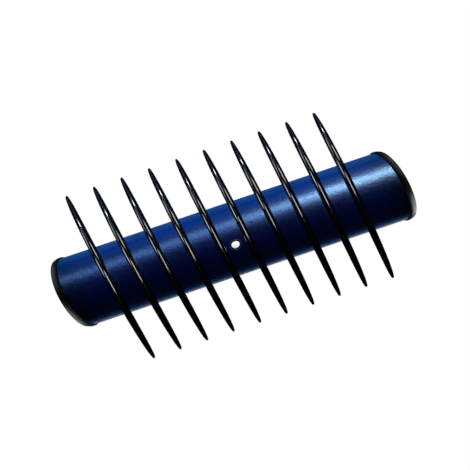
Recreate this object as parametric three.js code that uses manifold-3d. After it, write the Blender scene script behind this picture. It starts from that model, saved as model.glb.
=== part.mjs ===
// Hair roller: a plastic barrel with ten bowed, double-pointed tines fixed across its crown.
// Units are millimetres. +X runs along the barrel and +Z points up through the tines.
// Every piece is drawn about the barrel's axis. The last group then lifts the roller,
// so that the origin lies under the middle of its box, on the surface that it rests on.
import * as THREE from "three";
import { mergeVertices } from "three/addons/utils/BufferGeometryUtils.js";
import Module from "manifold-3d";

const wasm = await Module();
wasm.setup();

const degrees = THREE.MathUtils.degToRad;

// Driving dimensions

const GAP = 0.3; // clearance between pieces that touch
const END_SLANT = degrees(9); // the end faces are turned this far about Z

const BARREL = { radius: 10, wall: 1.6, halfLength: 44.4, sides: 60 };

const CAP = {
  radius: 10.35,
  flange: 1.6,
  bevel: 1,
  bevelDrop: 0.35,
  rimWidth: 2.1,
  dishDepth: 0.5,
  dishSlope: 0.5,
  plate: 1.5,
  skirtLength: 3.7,
  skirtWall: 1.6,
  sides: 40,
};

const TINE = {
  count: 10,
  pitch: 7.2,
  lean: degrees(8.6),
  reachUp: 24.6,
  reachDown: 22.1,
  radius: 0.96,
  axisHeight: 11,
  bow: 2,
  fullness: 2.4,
  bluntness: 0.3,
  rings: 18,
  sides: 10,
};

const STEM = { width: 1, length: 3.2, foot: 5.9, roundSides: 4 };

const STRIP = { halfLength: 42.5, width: 6, top: 7.5, thickness: 2 };

const RIVET = {
  offset: -0.6, // along Y from the middle of the crown
  oval: [1.12, 0.9], // stretch of the rivet, its seat and their bores along X and Y
  headRadius: 0.95,
  headBase: 9.8,
  headHeight: 0.3,
  shankRadius: 0.6,
  tailRadius: 1.1,
  tailThickness: 0.6,
  sides: 20,
};

const SEAT = { radius: 1.5, bore: 1.22, bottom: 9.2, floor: 9.5, top: 10.05, flare: 0.24 };

const CUT = 1; // how far a cutting solid runs past the face that it opens

// Values worked out from them

const barrelInner = BARREL.radius - BARREL.wall;
const flangeInner = BARREL.halfLength + GAP;
const capFace = flangeInner + CAP.flange;
const tineHalf = (TINE.reachUp + TINE.reachDown) / 2;
const tineMiddle = (TINE.reachUp - TINE.reachDown) / 2;
const stripBottom = STRIP.top - STRIP.thickness;

// Finishes

function plastic(color, roughness) {
  return new THREE.MeshStandardMaterial({ color, roughness, metalness: 0 });
}

// Solids

function solidOf(geometry) {
  const plain = geometry.clone();
  plain.deleteAttribute("normal");
  plain.deleteAttribute("uv");
  const merged = mergeVertices(plain, 1e-4);
  const vertProperties = new Float32Array(merged.attributes.position.array);
  const triVerts = new Uint32Array(merged.index.array);
  return new wasm.Manifold(new wasm.Mesh({ numProp: 3, vertProperties, triVerts }));
}

function geometryOf(solid) {
  const mesh = solid.getMesh();
  const geometry = new THREE.BufferGeometry();
  geometry.setAttribute("position", new THREE.BufferAttribute(mesh.vertProperties, 3));
  geometry.setIndex(new THREE.BufferAttribute(mesh.triVerts, 1));
  geometry.computeVertexNormals();
  return geometry;
}

function subtractAll(geometry, cutters) {
  let solid = solidOf(geometry);
  for (const cutter of cutters) {
    solid = solid.subtract(solidOf(cutter));
  }
  return geometryOf(solid);
}

// Points given as [radius, height] become a lathe profile.
function profile(pairs) {
  return pairs.map(([radius, height]) => new THREE.Vector2(radius, height));
}

// A shear along X: it keeps the round section and turns the end faces about Z.
function slant(geometry) {
  const shear = new THREE.Matrix4();
  shear.elements[4] = -Math.tan(END_SLANT);
  return geometry.applyMatrix4(shear);
}

// A solid with straight sides and round ends, as long as `length` along Y.
function slotPrism(width, length, bottom, top) {
  const half = (length - width) / 2;
  const outline = new THREE.Shape();
  outline.absarc(0, half, width / 2, 0, Math.PI);
  outline.absarc(0, -half, width / 2, Math.PI, 2 * Math.PI);
  outline.closePath();
  const options = { depth: top - bottom, bevelEnabled: false, curveSegments: STEM.roundSides };
  return new THREE.ExtrudeGeometry(outline, options).translate(0, 0, bottom);
}

// Stands a turned shape on the rivet's own axis, slightly oval.
function onRivetAxis(upright) {
  const oval = upright.rotateX(Math.PI / 2).scale(...RIVET.oval, 1);
  return oval.translate(0, RIVET.offset, 0);
}

function rivetBore(radius, bottom, top) {
  const cylinder = new THREE.CylinderGeometry(radius, radius, top - bottom, RIVET.sides);
  return onRivetAxis(cylinder.translate(0, (top + bottom) / 2, 0));
}

// Where each tine crosses the barrel's axis, from left to right
function tineStations() {
  const first = -((TINE.count - 1) / 2) * TINE.pitch;
  return Array.from({ length: TINE.count }, (_, index) => first + index * TINE.pitch);
}

// One slot for each stem, cut between two heights
function stemSlots(bottom, top) {
  const width = STEM.width + 2 * GAP;
  const length = STEM.length + 2 * GAP;
  return tineStations().map((x) =>
    slotPrism(width, length, bottom, top).rotateZ(TINE.lean).translate(x, 0, 0),
  );
}

// Sub-parts

function barrelGeometry() {
  const half = BARREL.halfLength;
  const ring = profile([
    [barrelInner, -half],
    [BARREL.radius, -half],
    [BARREL.radius, half],
    [barrelInner, half],
    [barrelInner, -half],
  ]);
  const tube = slant(new THREE.LatheGeometry(ring, BARREL.sides).rotateZ(-Math.PI / 2));
  const crown = BARREL.radius + CUT;
  const shankHole = rivetBore(RIVET.shankRadius + GAP, barrelInner - CUT, crown);
  const seatHole = rivetBore(SEAT.radius + GAP, SEAT.bottom - GAP, crown);
  return subtractAll(tube, [...stemSlots(barrelInner - CUT, crown), shankHole, seatHole]);
}

// The flange's outer edge falls away in a shallow curve to a crisp corner.
function flangeEdge() {
  const steps = 4;
  const points = [];
  for (let step = 0; step <= steps; step += 1) {
    const along = step / steps;
    const radius = CAP.radius - CAP.bevelDrop * along ** 2;
    points.push([radius, capFace - CAP.bevel * (1 - along)]);
  }
  return points;
}

// side is +1 for the right end and -1 for the left end.
function capGeometry(side) {
  const skirtOuter = barrelInner - GAP;
  const skirtInner = skirtOuter - CAP.skirtWall;
  const skirtEnd = flangeInner - CAP.skirtLength;
  const dishEdge = CAP.radius - CAP.bevelDrop - CAP.rimWidth;
  const dishFloor = capFace - CAP.dishDepth;
  const plateBack = dishFloor - CAP.plate;
  const section = profile([
    [0, plateBack],
    [skirtInner, plateBack],
    [skirtInner, skirtEnd],
    [skirtOuter, skirtEnd],
    [skirtOuter, flangeInner],
    [CAP.radius, flangeInner],
    ...flangeEdge(),
    [dishEdge, capFace],
    [dishEdge - CAP.dishSlope, dishFloor],
    [0, dishFloor],
  ]);
  const turned = new THREE.LatheGeometry(section, CAP.sides).rotateZ((-side * Math.PI) / 2);
  return subtractAll(slant(turned), [stripNotch(side)]);
}

// The gap in a cap's skirt that holds one end of the backing strip
function stripNotch(side) {
  const length = STRIP.halfLength + GAP;
  const height = barrelInner + CUT - (stripBottom - GAP);
  const notch = new THREE.BoxGeometry(length, STRIP.width + 2 * GAP, height);
  return notch.translate((side * length) / 2, 0, stripBottom - GAP + height / 2);
}

function backingStripGeometry() {
  const bar = new THREE.BoxGeometry(2 * STRIP.halfLength, STRIP.width, STRIP.thickness);
  bar.translate(0, 0, STRIP.top - STRIP.thickness / 2);
  const bottom = stripBottom - CUT;
  const top = STRIP.top + CUT;
  const rivetHole = rivetBore(RIVET.shankRadius + GAP, bottom, top);
  return subtractAll(bar, [...stemSlots(bottom, top), rivetHole]);
}

// A blunt spindle along Y, bowed so that both points fall back towards the barrel
function spindleGeometry() {
  const points = [];
  for (let ring = 0; ring <= TINE.rings; ring += 1) {
    const along = Math.sin((ring / TINE.rings - 0.5) * Math.PI);
    const left = Math.max(0, 1 - Math.abs(along) ** TINE.fullness);
    points.push([TINE.radius * left ** TINE.bluntness, tineMiddle + along * tineHalf]);
  }
  const spindle = new THREE.LatheGeometry(profile(points), TINE.sides);
  const position = spindle.attributes.position;
  for (let i = 0; i < position.count; i += 1) {
    const along = (position.getY(i) - tineMiddle) / tineHalf;
    position.setZ(i, position.getZ(i) + TINE.axisHeight - TINE.bow * along ** 2);
  }
  return spindle;
}

// A spindle with the stem that passes through the barrel's wall into the backing strip
function tineGeometry() {
  const stem = slotPrism(STEM.width, STEM.length, STEM.foot, TINE.axisHeight);
  return geometryOf(solidOf(spindleGeometry()).add(solidOf(stem)));
}

// The rivet that clamps the backing strip: head, shank and closed tail
function rivetGeometry() {
  const tailTop = stripBottom - GAP;
  const tailBottom = tailTop - RIVET.tailThickness;
  const dome = [];
  const steps = 5;
  for (let step = 0; step <= steps; step += 1) {
    const angle = (step / steps) * (Math.PI / 2);
    const rise = RIVET.headHeight * Math.sin(angle);
    dome.push([RIVET.headRadius * Math.cos(angle), RIVET.headBase + rise]);
  }
  dome[steps][0] = 0;
  const section = profile([
    [0, tailBottom],
    [RIVET.tailRadius, tailBottom],
    [RIVET.tailRadius, tailTop],
    [RIVET.shankRadius, tailTop],
    [RIVET.shankRadius, RIVET.headBase],
    ...dome,
  ]);
  return onRivetAxis(new THREE.LatheGeometry(section, RIVET.sides));
}

// The cup that sinks the rivet's head in the crown, with a flared mouth
function rivetSeatGeometry() {
  const shankHole = RIVET.shankRadius + GAP;
  const section = profile([
    [shankHole, SEAT.bottom],
    [SEAT.radius, SEAT.bottom],
    [SEAT.radius, SEAT.top],
    [SEAT.bore + SEAT.flare, SEAT.top],
    [SEAT.bore, SEAT.top - SEAT.flare],
    [SEAT.bore, SEAT.floor],
    [shankHole, SEAT.floor],
    [shankHole, SEAT.bottom],
  ]);
  return onRivetAxis(new THREE.LatheGeometry(section, RIVET.sides));
}

// Assembly

function piece(name, geometry, material) {
  const mesh = new THREE.Mesh(geometry, material);
  mesh.name = name;
  return mesh;
}

function tineName(index) {
  return `tine_${String(index + 1).padStart(2, "0")}`;
}

const group = new THREE.Group();
const boxMiddleY = tineMiddle * Math.cos(TINE.lean);
group.position.set(0, -boxMiddleY, CAP.radius);

group.add(piece("barrel", barrelGeometry(), plastic("#1747b5", 0.28)));
group.add(piece("end_cap_left", capGeometry(-1), plastic("#2b2d2e", 0.35)));
group.add(piece("end_cap_right", capGeometry(1), plastic("#2b2d2e", 0.35)));
group.add(piece("backing_strip", backingStripGeometry(), plastic("#1c1d1f", 0.6)));
group.add(piece("centre_rivet", rivetGeometry(), plastic("#e9f0f8", 0.25)));
group.add(piece("rivet_seat", rivetSeatGeometry(), plastic("#0b1d55", 0.3)));

tineStations().forEach((x, index) => {
  const tine = piece(tineName(index), tineGeometry(), plastic("#0a0a0c", 0.15));
  tine.position.x = x;
  tine.rotation.z = TINE.lean;
  group.add(tine);
});

export default group;
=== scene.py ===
import math

import bpy
from mathutils import Matrix, Vector


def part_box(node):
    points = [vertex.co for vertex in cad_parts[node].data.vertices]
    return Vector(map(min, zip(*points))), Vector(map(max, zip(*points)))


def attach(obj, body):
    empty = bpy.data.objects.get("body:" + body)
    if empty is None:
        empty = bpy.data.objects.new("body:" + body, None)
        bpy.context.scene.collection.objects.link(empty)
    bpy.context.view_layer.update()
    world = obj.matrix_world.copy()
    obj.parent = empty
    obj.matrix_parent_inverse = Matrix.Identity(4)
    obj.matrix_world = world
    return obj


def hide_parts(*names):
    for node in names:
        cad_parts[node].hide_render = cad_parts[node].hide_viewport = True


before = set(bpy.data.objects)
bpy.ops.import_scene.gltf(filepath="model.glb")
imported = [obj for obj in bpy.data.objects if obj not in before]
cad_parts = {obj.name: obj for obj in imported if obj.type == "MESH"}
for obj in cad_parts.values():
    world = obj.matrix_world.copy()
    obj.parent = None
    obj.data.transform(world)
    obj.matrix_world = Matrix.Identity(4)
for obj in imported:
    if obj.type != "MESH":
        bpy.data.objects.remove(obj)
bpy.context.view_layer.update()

MM = 0.001

# ---------------------------------------------------------------------------
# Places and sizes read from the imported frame, in metres
# ---------------------------------------------------------------------------

barrel_low, barrel_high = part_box("barrel")
AXIS = (barrel_low + barrel_high) / 2  # the middle of the barrel's own axis
BARREL_RADIUS = (barrel_high.z - barrel_low.z) / 2
cap_low, cap_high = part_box("end_cap_right")
CAP_RADIUS = (cap_high.z - cap_low.z) / 2
rivet_low, rivet_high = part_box("centre_rivet")
seat_low, seat_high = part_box("rivet_seat")
strip_low, strip_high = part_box("backing_strip")
TINES = sorted(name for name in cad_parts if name.startswith("tine_"))

# ---------------------------------------------------------------------------
# Sizes of the roller's own shape, in metres, about the barrel's axis
# ---------------------------------------------------------------------------

END_SLANT = math.radians(9)
BARREL_WALL = 1.6 * MM
BARREL_HALF = 44.65 * MM
BARREL_EDGE = 0.22 * MM
CUT = 1 * MM  # how far a cutting solid runs past the face that it opens

CAP_INNER = 44.7 * MM
CAP_FACE = 46.3 * MM
CAP_BEVEL = 1.0 * MM
CAP_BEVEL_DROP = 0.35 * MM
CAP_RIM = 2.1 * MM
CAP_DISH = 0.5 * MM
CAP_PLATE = 1.5 * MM
SKIRT_END = 41.0 * MM
SKIRT_WALL = 1.6 * MM
SKIRT_GAP = 0.05 * MM

TINE_LEAN = math.radians(8.6)
TINE_UP = 24.6 * MM
TINE_DOWN = 22.1 * MM
TINE_RADIUS = 0.96 * MM
TINE_HEIGHT = 11 * MM
TINE_BOW = 2 * MM
TINE_FULLNESS = 2.4
TINE_BLUNTNESS = 0.3
FOOT_FULL = 1.8 * MM
FOOT_END = 4.6 * MM
FOOT_GAP = 0.03 * MM

STEM_WIDTH = 1.0 * MM
STEM_LENGTH = 3.2 * MM
STEM_FOOT = 5.9 * MM
SLOT_GAP = 0.06 * MM

END_DARKEN_START = 38 * MM  # along the barrel, where the wall's base colour begins to darken towards the ends
END_DARKEN_END = 43 * MM

HEAD_RADIUS = 0.95 * MM
HEAD_THICKNESS = 0.42 * MM
HEAD_CROWN = 0.05 * MM
SHANK_RADIUS = 0.6 * MM
TAIL_RADIUS = 1.1 * MM
TAIL_THICKNESS = 0.6 * MM
SEAT_RADIUS = 1.5 * MM
SEAT_BORE = 1.22 * MM
SEAT_FLARE = 0.24 * MM
SEAT_FLOOR = 0.3 * MM
SEAT_GAP = 0.02 * MM
RIVET_OVAL = (1.12, 0.9)
RIVET_SHIFT = (seat_low.y + seat_high.y) / 2 - AXIS.y


def pieces_on_root(piece, slot, *nodes):
    """Rides the piece on the roller's only body and hides the CAD nodes that it stands for."""
    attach(piece, "root")
    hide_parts(*nodes)
    return piece


# ---------------------------------------------------------------------------
# Mesh helpers
# ---------------------------------------------------------------------------

def new_object(name, verts, faces):
    mesh = bpy.data.meshes.new(name)
    mesh.from_pydata([tuple(v) for v in verts], [], faces)
    mesh.update()
    obj = bpy.data.objects.new(name, mesh)
    bpy.context.scene.collection.objects.link(obj)
    return obj


def smooth(obj, angle=35):
    obj.data.shade_smooth()
    obj.data.set_sharp_from_angle(angle=math.radians(angle))


def rounded(points, radii, steps=6):
    """A closed outline whose corners are arcs of the given radii."""
    outline = []
    count = len(points)
    for i, (point, radius) in enumerate(zip(points, radii)):
        corner = Vector(point)
        if radius == 0:
            outline.append(corner)
            continue
        before = (Vector(points[i - 1]) - corner).normalized()
        after = (Vector(points[(i + 1) % count]) - corner).normalized()
        half = before.angle(after) / 2
        reach = radius / math.tan(half)
        centre = corner + (before + after).normalized() * (radius / math.sin(half))
        start = corner + before * reach - centre
        end = corner + after * reach - centre
        sweep = start.angle_signed(end)
        for step in range(steps + 1):
            turn = Matrix.Rotation(-sweep * step / steps, 2)
            outline.append(centre + turn @ start)
    return outline


def lathe(name, outline, segments):
    """Turns a closed (radius, height) outline about Z. Points on the axis become poles."""
    verts = []
    rings = []
    for radius, height in outline:
        if radius < 1e-9:
            rings.append([len(verts)] * segments)
            verts.append((0, 0, height))
            continue
        rings.append(list(range(len(verts), len(verts) + segments)))
        for k in range(segments):
            angle = 2 * math.pi * k / segments
            verts.append((radius * math.cos(angle), radius * math.sin(angle), height))
    faces = []
    for i, ring in enumerate(rings):
        above = rings[(i + 1) % len(rings)]
        for k in range(segments):
            n = (k + 1) % segments
            corners = [ring[k], ring[n], above[n], above[k]]
            face = list(dict.fromkeys(corners))
            if len(face) > 2:
                faces.append(face)
    return new_object(name, verts, faces)


def place(obj, *matrices):
    for matrix in matrices:
        obj.data.transform(matrix)
    if obj.data.polygons and signed_volume(obj.data) < 0:
        obj.data.flip_normals()
    return obj


def signed_volume(mesh):
    total = 0
    mesh.calc_loop_triangles()
    for tri in mesh.loop_triangles:
        a, b, c = (mesh.vertices[i].co for i in tri.vertices)
        total += a.dot(b.cross(c))
    return total


def along_x(side):
    """Turns +Z into +X for side 1, or into -X for side -1."""
    return Matrix.Rotation(side * math.pi / 2, 4, "Y")


def slant():
    """Turns both end faces by the same angle, without turning the barrel."""
    shear = Matrix.Identity(4)
    shear[0][1] = -math.tan(END_SLANT)
    return shear


def to_axis():
    return Matrix.Translation(AXIS)


def slot_solid(name, width, length, bottom, top, turns=12):
    """An upright solid with straight sides and round ends, long in Y."""
    ring = []
    half = (length - width) / 2
    for k in range(turns + 1):
        angle = math.pi * k / turns
        ring.append((width / 2 * math.cos(angle), half + width / 2 * math.sin(angle)))
    ring += [(-x, -y) for x, y in ring]
    count = len(ring)
    verts = [(x, y, bottom) for x, y in ring] + [(x, y, top) for x, y in ring]
    faces = [list(reversed(range(count))), list(range(count, 2 * count))]
    for k in range(count):
        n = (k + 1) % count
        faces.append([k, n, count + n, count + k])
    return new_object(name, verts, faces)


def join(name, objects):
    """One object that holds copies of all the meshes given, which are removed."""
    verts = []
    faces = []
    for obj in objects:
        offset = len(verts)
        verts += [obj.matrix_world @ v.co for v in obj.data.vertices]
        faces += [[offset + i for i in p.vertices] for p in obj.data.polygons]
        remove(obj)
    return new_object(name, verts, faces)


def remove(obj):
    mesh = obj.data
    bpy.data.objects.remove(obj)
    bpy.data.meshes.remove(mesh)


def combine(obj, tool, operation):
    """Joins or cuts obj with tool, and removes the tool."""
    modifier = obj.modifiers.new("combine", "BOOLEAN")
    modifier.operation = operation
    modifier.solver = "EXACT"
    modifier.object = tool
    graph = bpy.context.evaluated_depsgraph_get()
    made = bpy.data.meshes.new_from_object(obj.evaluated_get(graph))
    obj.modifiers.clear()
    old = obj.data
    obj.data = made
    bpy.data.meshes.remove(old)
    remove(tool)
    return obj


# ---------------------------------------------------------------------------
# Pieces
# ---------------------------------------------------------------------------

def tine_stations():
    """Where each tine crosses the barrel, from its CAD box."""
    middle = (TINE_UP - TINE_DOWN) / 2
    shift = -math.sin(TINE_LEAN) * middle
    stations = []
    for name in TINES:
        low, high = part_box(name)
        stations.append((name, (low.x + high.x) / 2 - shift - AXIS.x))
    return stations


def stem_cutters(bottom, top):
    cutters = []
    for name, x in tine_stations():
        width = STEM_WIDTH + 2 * SLOT_GAP
        length = STEM_LENGTH + 2 * SLOT_GAP
        cutter = slot_solid("slot", width, length, bottom, top)
        place(cutter, Matrix.Rotation(TINE_LEAN, 4, "Z"), Matrix.Translation((x, 0, 0)))
        cutters.append(cutter)
    return cutters


def to_rivet():
    """Onto the rivet's own axis, slightly oval."""
    oval = Matrix.Diagonal((*RIVET_OVAL, 1, 1))
    return Matrix.Translation((0, RIVET_SHIFT, 0)) @ oval


def round_cutter(radius, bottom, top):
    outline = [(0, bottom), (radius, bottom), (radius, top), (0, top)]
    return place(lathe("bore", outline, 64), to_rivet())


def make_barrel():
    inner = BARREL_RADIUS - BARREL_WALL
    corners = [
        (inner, -BARREL_HALF),
        (BARREL_RADIUS, -BARREL_HALF),
        (BARREL_RADIUS, BARREL_HALF),
        (inner, BARREL_HALF),
    ]
    outline = rounded(corners, [0, BARREL_EDGE, BARREL_EDGE, 0])
    barrel = lathe("barrel_shell", outline, 288)
    place(barrel, along_x(1), slant())
    below = inner - CUT
    above = BARREL_RADIUS + CUT
    cutters = stem_cutters(below, above)
    seat_bottom = seat_low.z - AXIS.z
    cutters.append(round_cutter(SHANK_RADIUS + SLOT_GAP, below, seat_bottom))
    cutters.append(round_cutter(SEAT_RADIUS + SEAT_GAP, seat_bottom - SLOT_GAP, above))
    combine(barrel, join("slots", cutters), "DIFFERENCE")
    place(barrel, to_axis())
    smooth(barrel, 30)
    return pieces_on_root(barrel, "barrel_blue", "barrel")


def make_cap(side, name):
    skirt_outer = BARREL_RADIUS - BARREL_WALL - SKIRT_GAP
    skirt_inner = skirt_outer - SKIRT_WALL
    dish_edge = CAP_RADIUS - CAP_BEVEL_DROP - CAP_RIM
    dish_floor = CAP_FACE - CAP_DISH
    corners = [
        (0, dish_floor - CAP_PLATE),
        (skirt_inner, dish_floor - CAP_PLATE),
        (skirt_inner, SKIRT_END),
        (skirt_outer, SKIRT_END),
        (skirt_outer, CAP_INNER),
        (CAP_RADIUS, CAP_INNER),
        (CAP_RADIUS, CAP_FACE - CAP_BEVEL),
        (CAP_RADIUS - CAP_BEVEL_DROP, CAP_FACE),
        (dish_edge, CAP_FACE),
        (dish_edge - CAP_DISH, dish_floor),
        (0, dish_floor),
    ]
    fine = 0.2 * MM
    plate_corner = 0.5 * MM
    flange_corner = 0.08 * MM
    bevel_start = 2 * MM
    radii = [0, plate_corner, fine, fine, 0, flange_corner, bevel_start, fine, fine, fine, 0]
    cap = lathe(name + "_cap", rounded(corners, radii, 10), 256)
    place(cap, along_x(side), slant())
    combine(cap, strip_notch(side), "DIFFERENCE")
    place(cap, to_axis())
    smooth(cap, 35)
    return pieces_on_root(cap, "cap_charcoal", "end_cap_" + name)


def strip_notch(side):
    """The room that a cap's skirt leaves for the end of the backing strip."""
    notch_low = strip_low.z - AXIS.z - SKIRT_GAP
    notch_half = (strip_high.y - strip_low.y) / 2 + SKIRT_GAP
    notch_end = strip_high.x - AXIS.x + SKIRT_GAP
    ring = [(0, -1), (1, -1), (1, 1), (0, 1)]
    verts = [
        (side * x * notch_end, y * notch_half, z)
        for z in (notch_low, BARREL_RADIUS)
        for x, y in ring
    ]
    faces = [[3, 2, 1, 0], [4, 5, 6, 7], [0, 1, 5, 4], [1, 2, 6, 5], [2, 3, 7, 6], [3, 0, 4, 7]]
    return place(new_object("notch", verts, faces))


def ease(value):
    """A smooth step from 0 to 1."""
    value = min(1, max(0, value))
    return value * value * (3 - 2 * value)


def spindle():
    """The tine's bar: a blunt, bowed spindle whose underside fills down to the barrel near its foot."""
    rings = 120
    sides = 40
    half = (TINE_UP + TINE_DOWN) / 2
    middle = (TINE_UP - TINE_DOWN) / 2
    verts = []
    for ring in range(1, rings):
        along = math.sin((ring / rings - 0.5) * math.pi)
        radius = TINE_RADIUS * (1 - abs(along) ** TINE_FULLNESS) ** TINE_BLUNTNESS
        y = middle + along * half
        height = TINE_HEIGHT - TINE_BOW * along ** 2
        foot = ease((FOOT_END - abs(y)) / (FOOT_END - FOOT_FULL))
        for k in range(sides):
            angle = 2 * math.pi * k / sides
            x = radius * math.cos(angle)
            drop = radius
            if foot > 0 and math.sin(angle) < 0:
                across = y * math.cos(TINE_LEAN) + x * math.sin(TINE_LEAN)
                crown = math.sqrt(BARREL_RADIUS ** 2 - across ** 2) + FOOT_GAP
                drop += foot * max(0, height - crown - radius)
            verts.append((x, y, height + drop * math.sin(angle)))
    first = len(verts)
    verts.append((0, middle - half, TINE_HEIGHT - TINE_BOW))
    verts.append((0, middle + half, TINE_HEIGHT - TINE_BOW))
    faces = []
    for ring in range(rings - 2):
        for k in range(sides):
            a = ring * sides + k
            b = ring * sides + (k + 1) % sides
            faces.append([a, b, b + sides, a + sides])
    last = (rings - 2) * sides
    for k in range(sides):
        n = (k + 1) % sides
        faces.append([n, k, first])
        faces.append([last + k, last + n, first + 1])
    return place(new_object("spindle", verts, faces))


def make_tines():
    """One spindle with its stem, then a copy at each station."""
    bar = spindle()
    stem = place(slot_solid("stem", STEM_WIDTH, STEM_LENGTH, STEM_FOOT, TINE_HEIGHT))
    combine(bar, stem, "UNION")
    made = []
    for name, x in tine_stations():
        copy = bpy.data.objects.new(name + "_moulded", bar.data.copy())
        bpy.context.scene.collection.objects.link(copy)
        station = Matrix.Translation((x, 0, 0))
        place(copy, Matrix.Rotation(TINE_LEAN, 4, "Z"), station, to_axis())
        smooth(copy, 40)
        made.append(pieces_on_root(copy, "tine_black", name))
    remove(bar)
    return made


def make_rivet():
    bottom = rivet_low.z - AXIS.z
    top = rivet_high.z - AXIS.z
    head = top - HEAD_THICKNESS
    tail = bottom + TAIL_THICKNESS
    corners = [
        (0, bottom),
        (TAIL_RADIUS, bottom),
        (TAIL_RADIUS, tail),
        (SHANK_RADIUS, tail),
        (SHANK_RADIUS, head),
        (HEAD_RADIUS, head),
        (HEAD_RADIUS, top - HEAD_CROWN),
        (0, top),
    ]
    radii = [0, 0.15 * MM, 0.1 * MM, 0, 0, 0.04 * MM, 0.12 * MM, 0]
    rivet = lathe("centre_rivet_head", rounded(corners, radii, 8), 96)
    place(rivet, to_rivet(), to_axis())
    smooth(rivet, 50)
    return pieces_on_root(rivet, "rivet_white", "centre_rivet")


def make_seat():
    bottom = seat_low.z - AXIS.z
    top = seat_high.z - AXIS.z
    floor = bottom + SEAT_FLOOR
    bore = SHANK_RADIUS + SLOT_GAP
    corners = [
        (bore, bottom),
        (SEAT_RADIUS, bottom),
        (SEAT_RADIUS, top),
        (SEAT_BORE + SEAT_FLARE, top),
        (SEAT_BORE, top - SEAT_FLARE),
        (SEAT_BORE, floor),
        (bore, floor),
    ]
    fine = 0.04 * MM
    radii = [0, fine, fine, 0.03 * MM, fine, 0, 0]
    seat = lathe("rivet_seat_cup", rounded(corners, radii, 6), 128)
    place(seat, to_rivet(), to_axis())
    smooth(seat, 40)
    return pieces_on_root(seat, "seat_navy", "rivet_seat")


# ---------------------------------------------------------------------------
# Materials
# ---------------------------------------------------------------------------

def material(name):
    """A new material, its node tree and its Principled shader."""
    made = bpy.data.materials.new(name)
    made.use_nodes = True
    shader = made.node_tree.nodes["Principled BSDF"]
    return made, made.node_tree, shader


def object_noise(tree, scale, detail=3, roughness=0.5):
    """Noise in the object's own space. scale is in features per metre."""
    place_node = tree.nodes.new("ShaderNodeTexCoord")
    noise = tree.nodes.new("ShaderNodeTexNoise")
    noise.inputs["Scale"].default_value = scale
    noise.inputs["Detail"].default_value = detail
    noise.inputs["Roughness"].default_value = roughness
    tree.links.new(place_node.outputs["Object"], noise.inputs["Vector"])
    return noise


def ramp(tree, source, low, high, start=0.3, end=0.7):
    """Maps a 0 to 1 source to colours between two positions."""
    node = tree.nodes.new("ShaderNodeValToRGB")
    node.color_ramp.elements[0].position = start
    node.color_ramp.elements[1].position = end
    node.color_ramp.elements[0].color = (*low, 1)
    node.color_ramp.elements[1].color = (*high, 1)
    tree.links.new(source, node.inputs["Fac"])
    return node.outputs["Color"]


def spread(tree, source, low, high, start=0.3, end=0.7):
    """Maps a 0 to 1 source to a number."""
    node = tree.nodes.new("ShaderNodeMapRange")
    values = {"From Min": start, "From Max": end, "To Min": low, "To Max": high}
    for socket, value in values.items():
        node.inputs[socket].default_value = value
    tree.links.new(source, node.inputs["Value"])
    return node.outputs["Result"]


def bump(tree, shader, layers):
    """Stacks bumps. Each layer is (height source, depth in metres)."""
    normal = None
    for source, depth in layers:
        node = tree.nodes.new("ShaderNodeBump")
        node.inputs["Strength"].default_value = 1
        node.inputs["Distance"].default_value = depth
        tree.links.new(source, node.inputs["Height"])
        if normal:
            tree.links.new(normal, node.inputs["Normal"])
        normal = node.outputs["Normal"]
    tree.links.new(normal, shader.inputs["Normal"])


def toward_ends(tree):
    """0 over the middle of the barrel, rising to 1 near both ends, where the barrel's base colour is
    darkened.
    """
    place_node = tree.nodes.new("ShaderNodeTexCoord")
    along = tree.nodes.new("ShaderNodeVectorMath")
    along.operation = "DOT_PRODUCT"
    along.inputs[1].default_value = (1, math.tan(END_SLANT), 0)
    tree.links.new(place_node.outputs["Object"], along.inputs[0])
    centred = math_node(tree, "SUBTRACT", along.outputs["Value"], AXIS.y * math.tan(END_SLANT))
    distance = math_node(tree, "ABSOLUTE", centred)
    return spread(tree, distance, 0, 1, END_DARKEN_START, END_DARKEN_END)


def math_node(tree, operation, first, second=0.0):
    node = tree.nodes.new("ShaderNodeMath")
    node.operation = operation
    tree.links.new(first, node.inputs[0])
    if isinstance(second, float):
        node.inputs[1].default_value = second
    else:
        tree.links.new(second, node.inputs[1])
    return node.outputs["Value"]


def mix_colour(tree, factor, first, second):
    """Blends from the first colour source to the plain second colour."""
    node = tree.nodes.new("ShaderNodeMix")
    node.data_type = "RGBA"
    tree.links.new(factor, node.inputs["Factor"])
    tree.links.new(first, node.inputs["A"])
    node.inputs["B"].default_value = (*second, 1)
    return node.outputs["Result"]


def barrel_material():
    made, tree, shader = material("barrel_blue_plastic")
    shader.inputs["IOR"].default_value = 1.8
    shader.inputs["Specular IOR Level"].default_value = 1.0
    shader.inputs["Specular Tint"].default_value = (0.2, 0.46, 1.0, 1)
    speckle = object_noise(tree, 3200, 3, 0.6)
    peel = object_noise(tree, 1500, 4, 0.6)
    colour = ramp(tree, speckle.outputs["Fac"], (0.0003, 0.0015, 0.042), (0.0007, 0.003, 0.062))
    # The base colour is darkened towards both ends of the barrel.
    dark = mix_colour(tree, toward_ends(tree), colour, (0.0002, 0.002, 0.014))
    tree.links.new(dark, shader.inputs["Base Color"])
    rough = spread(tree, peel.outputs["Fac"], 0.26, 0.37)
    tree.links.new(rough, shader.inputs["Roughness"])
    bump(tree, shader, [(speckle.outputs["Fac"], 0.02 * MM), (peel.outputs["Fac"], 0.045 * MM)])
    return made


def tine_material():
    made, tree, shader = material("tine_black_plastic")
    shader.inputs["IOR"].default_value = 2.0
    shader.inputs["Specular IOR Level"].default_value = 1.0
    shade = object_noise(tree, 700, 3)
    ripple = object_noise(tree, 450, 2)
    colour = ramp(tree, shade.outputs["Fac"], (0.0012, 0.0012, 0.002), (0.004, 0.004, 0.006))
    tree.links.new(colour, shader.inputs["Base Color"])
    rough = spread(tree, shade.outputs["Fac"], 0.06, 0.1)
    tree.links.new(rough, shader.inputs["Roughness"])
    bump(tree, shader, [(ripple.outputs["Fac"], 0.002 * MM)])
    return made


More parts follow.
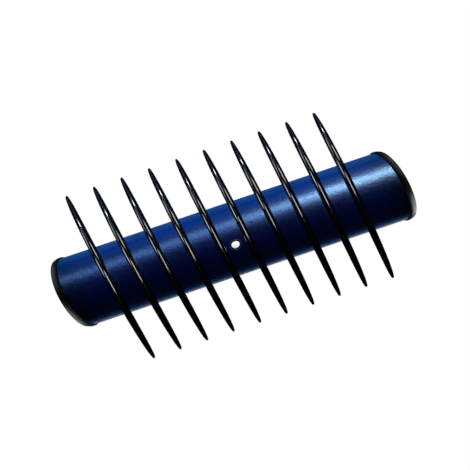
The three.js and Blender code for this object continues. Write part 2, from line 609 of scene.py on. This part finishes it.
def cap_material():
    made, tree, shader = material("cap_charcoal_plastic")
    shader.inputs["Specular IOR Level"].default_value = 0.5
    grain = object_noise(tree, 2600, 3, 0.6)
    broad = object_noise(tree, 160, 2)
    colour = ramp(tree, broad.outputs["Fac"], (0.006, 0.0065, 0.007), (0.014, 0.015, 0.0155))
    tree.links.new(colour, shader.inputs["Base Color"])
    rough = spread(tree, grain.outputs["Fac"], 0.26, 0.42)
    tree.links.new(rough, shader.inputs["Roughness"])
    bump(tree, shader, [(grain.outputs["Fac"], 0.006 * MM)])
    return made


def rivet_material():
    made, tree, shader = material("rivet_white_plastic")
    grain = object_noise(tree, 2400, 3)
    colour = ramp(tree, grain.outputs["Fac"], (0.8, 0.88, 0.97), (0.9, 0.96, 1.0))
    tree.links.new(colour, shader.inputs["Base Color"])
    rough = spread(tree, grain.outputs["Fac"], 0.25, 0.35)
    tree.links.new(rough, shader.inputs["Roughness"])
    bump(tree, shader, [(grain.outputs["Fac"], 0.002 * MM)])
    return made


def seat_material():
    made, tree, shader = material("seat_navy_plastic")
    grain = object_noise(tree, 2400, 3)
    colour = ramp(tree, grain.outputs["Fac"], (0.001, 0.008, 0.05), (0.002, 0.014, 0.08))
    tree.links.new(colour, shader.inputs["Base Color"])
    rough = spread(tree, grain.outputs["Fac"], 0.2, 0.3)
    tree.links.new(rough, shader.inputs["Roughness"])
    bump(tree, shader, [(grain.outputs["Fac"], 0.002 * MM)])
    return made


def strip_material():
    made, tree, shader = material("strip_black_plastic")
    grain = object_noise(tree, 1800, 3)
    colour = ramp(tree, grain.outputs["Fac"], (0.008, 0.008, 0.009), (0.02, 0.02, 0.022))
    tree.links.new(colour, shader.inputs["Base Color"])
    rough = spread(tree, grain.outputs["Fac"], 0.5, 0.7)
    tree.links.new(rough, shader.inputs["Roughness"])
    bump(tree, shader, [(grain.outputs["Fac"], 0.01 * MM)])
    return made


def dress(objects, made):
    for obj in objects:
        obj.data.materials.clear()
        obj.data.materials.append(made)


# ---------------------------------------------------------------------------
# Stage, lights and camera
# ---------------------------------------------------------------------------

LIGHT_DISTANCE = 0.5

CAMERA_DISTANCE = 120 * MM
CAMERA_FOCUS = 33.6
CAMERA_TILT = math.radians(4.8)
CAMERA_TURN = math.radians(-0.1)
CAMERA_ROLL = math.radians(18.6)
CAMERA_AIM = Vector((0.62 * MM, 0.92 * MM, 0))


def emission(name, colour, strength):
    """A matt white or coloured surface that glows, for the floor and the backdrop."""
    made, _, shader = material(name)
    shader.inputs["Base Color"].default_value = (*colour, 1)
    shader.inputs["Roughness"].default_value = 1
    shader.inputs["Specular IOR Level"].default_value = 0
    shader.inputs["Emission Color"].default_value = (*colour, 1)
    shader.inputs["Emission Strength"].default_value = strength
    return made


def make_floor():
    size = 1.5
    verts = [(-size, -size, 0), (size, -size, 0), (size, size, 0), (-size, size, 0)]
    floor = new_object("floor", verts, [[0, 1, 2, 3]])
    floor.location.z = -0.5 * MM
    floor.visible_glossy = False
    floor.visible_shadow = False
    dress([floor], emission("floor_white", (1, 1, 1), 1.0))


def make_backdrop():
    bpy.ops.mesh.primitive_uv_sphere_add(segments=64, ring_count=32, radius=2.5)
    dome = bpy.context.object
    dome.name = "backdrop"
    dome.visible_diffuse = False
    dome.visible_glossy = False
    dome.visible_shadow = False
    dome.visible_transmission = False
    dress([dome], emission("backdrop_white", (1, 1, 1), 1))


def panel(name, across, up, width, height, watts, colour=(1, 1, 1), only=(), past=(), turn=0.0):
    """An area light aimed at the roller, at LIGHT_DISTANCE.

    It leans `across` degrees towards +X and `up` degrees towards +Y from straight up, in a frame
    that is turned about Z. With `only`, it lights just those objects. Objects in `past` cast no
    shadow in its light.
    """
    frame_turn = Matrix.Rotation(turn, 3, "Z")
    lean = Vector((math.tan(math.radians(across)), 0, 1)).normalized()
    toward = frame_turn @ Matrix.Rotation(-math.radians(up), 3, "X") @ lean
    side = frame_turn @ Vector((1, 0, 0))
    side = (side - toward * side.dot(toward)).normalized()
    light = bpy.data.lights.new(name, "AREA")
    light.shape = "RECTANGLE"
    light.size = width
    light.size_y = height
    light.energy = watts
    light.color = colour
    lamp = bpy.data.objects.new(name, light)
    axes = Matrix((side, toward.cross(side), toward)).transposed()
    lamp.matrix_world = Matrix.Translation(AXIS + toward * LIGHT_DISTANCE) @ axes.to_4x4()
    lamp.visible_camera = False
    bpy.context.scene.collection.objects.link(lamp)
    if only:
        lamp.light_linking.receiver_collection = gathered(name + "_lights", only)
    if past:
        blockers = gathered(name + "_passes", past)
        lamp.light_linking.blocker_collection = blockers
        for link in blockers.collection_objects:
            link.light_linking.link_state = "EXCLUDE"
    return lamp


def gathered(name, objects):
    """A collection that holds the objects, for light linking."""
    collection = bpy.data.collections.new(name)
    for obj in objects:
        collection.objects.link(obj)
    return collection


def light_barrel(body, tines):
    """A long band of light that brightens to the right, with blue fill around it and at the edges."""
    panel("key_band", -6, 53, 0.60, 0.14, 0.60, (1.0, 0.98, 0.94), body, tines)
    panel("key_middle", 17, 53.5, 0.42, 0.13, 0.28, (1.0, 0.98, 0.92), body, tines)
    panel("key_right", 24, 53, 0.26, 0.12, 0.43, (1.0, 0.87, 0.72), body, tines)
    panel("key_far_right", 28, 54, 0.18, 0.12, 1.25, (1.0, 0.76, 0.5), body, tines)
    panel("key_halo", 0, 50, 0.6, 0.36, 0.4, (0.0, 0.2, 1.0), body, tines)
    panel("side_wash", 0, 92, 0.6, 0.22, 0.5, (0.0, 0.3, 1.0), body)
    panel("edge_glow", 0, 125, 0.6, 0.14, 0.4, (0.02, 0.36, 1.0), body)
    panel("far_edge_glow", 0, 150, 0.6, 0.12, 0.15, (0.3, 0.6, 1.0), body)
    panel("low_edge_glow", 0, -126, 0.6, 0.08, 0.08, (0.15, 0.6, 1.0), body)
    panel("near_edge_glow", 0, -148, 0.6, 0.12, 0.3, (0.6, 0.8, 1.0), body)


def light_tines(tines):
    """A dim blue sky, one bright spot, and bars that show as streaks on alternate sides."""
    cool = (0.9, 0.96, 1.0)
    panel("tine_sky", 0, 35, 0.6, 0.35, 0.095, (0.3, 0.53, 1.0), tines, turn=TINE_LEAN)
    panel("tine_spot", 0, 22.9, 0.16, 0.02, 0.1, cool, tines, turn=TINE_LEAN)
    panel("tine_left_high", -48, 20.4, 0.2, 0.05, 0.05, cool, tines, turn=TINE_LEAN)
    panel("tine_right_high", 28, 12.0, 0.2, 0.05, 0.08, cool, tines, turn=TINE_LEAN)
    panel("tine_left_low", -48, 5.6, 0.2, 0.046, 0.07, cool, tines, turn=TINE_LEAN)
    panel("tine_right_low", 5, -2.3, 0.2, 0.072, 0.1, (1.0, 0.98, 0.95), tines, turn=TINE_LEAN)


def light_caps(caps):
    """Side lights that pick out the rims' slanted edges, brighter on the near side."""
    grey = (0.95, 1.0, 0.97)
    panel("rim_right_low", 49, -92, 0.3, 0.55, 1.6, grey, caps)
    panel("rim_right_high", 49, 80, 0.3, 0.6, 0.35, grey, caps)
    panel("rim_left_low", -49, -92, 0.3, 0.55, 0.8, grey, caps)
    panel("rim_left_high", -49, 80, 0.3, 0.6, 0.4, grey, caps)


def light_rivet(rivet, seat):
    panel("rivet_top", 0, 4, 0.2, 0.2, 1.15, (0.93, 0.97, 1.0), [rivet])
    panel("seat_mouth", 0, 84, 0.2, 0.1, 1.0, (0.8, 0.9, 1.0), [seat])


def make_world():
    world = bpy.data.worlds.new("studio")
    bpy.context.scene.world = world
    world.use_nodes = True
    background = world.node_tree.nodes["Background"]
    background.inputs["Color"].default_value = (0.002, 0.002, 0.003, 1)
    background.inputs["Strength"].default_value = 1


def make_camera():
    data = bpy.data.cameras.new("camera")
    data.sensor_width = 36
    data.lens = CAMERA_FOCUS
    data.clip_start = 0.005
    data.clip_end = 20
    camera = bpy.data.objects.new("camera", data)
    bpy.context.scene.collection.objects.link(camera)
    tilt = Matrix.Rotation(CAMERA_TILT, 3, "X") @ Matrix.Rotation(CAMERA_TURN, 3, "Y")
    to_camera = Matrix.Rotation(CAMERA_ROLL, 3, "Z") @ tilt
    from_camera = to_camera.transposed()
    spot = AXIS + CAMERA_AIM + from_camera @ Vector((0, 0, CAMERA_DISTANCE))
    camera.matrix_world = Matrix.Translation(spot) @ from_camera.to_4x4()
    bpy.context.scene.camera = camera


def build():
    barrel = make_barrel()
    caps = [make_cap(-1, "left"), make_cap(1, "right")]
    tines = make_tines()
    rivet = make_rivet()
    seat = make_seat()
    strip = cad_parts["backing_strip"]
    dress([barrel], barrel_material())
    dress(caps, cap_material())
    dress(tines, tine_material())
    dress([rivet], rivet_material())
    dress([seat], seat_material())
    dress([strip], strip_material())
    make_camera()
    make_world()
    make_floor()
    make_backdrop()
    light_barrel([barrel, rivet, seat], tines)
    light_tines(tines)
    light_caps(caps)
    light_rivet(rivet, seat)
    bpy.context.scene.view_settings.view_transform = "Standard"


build()
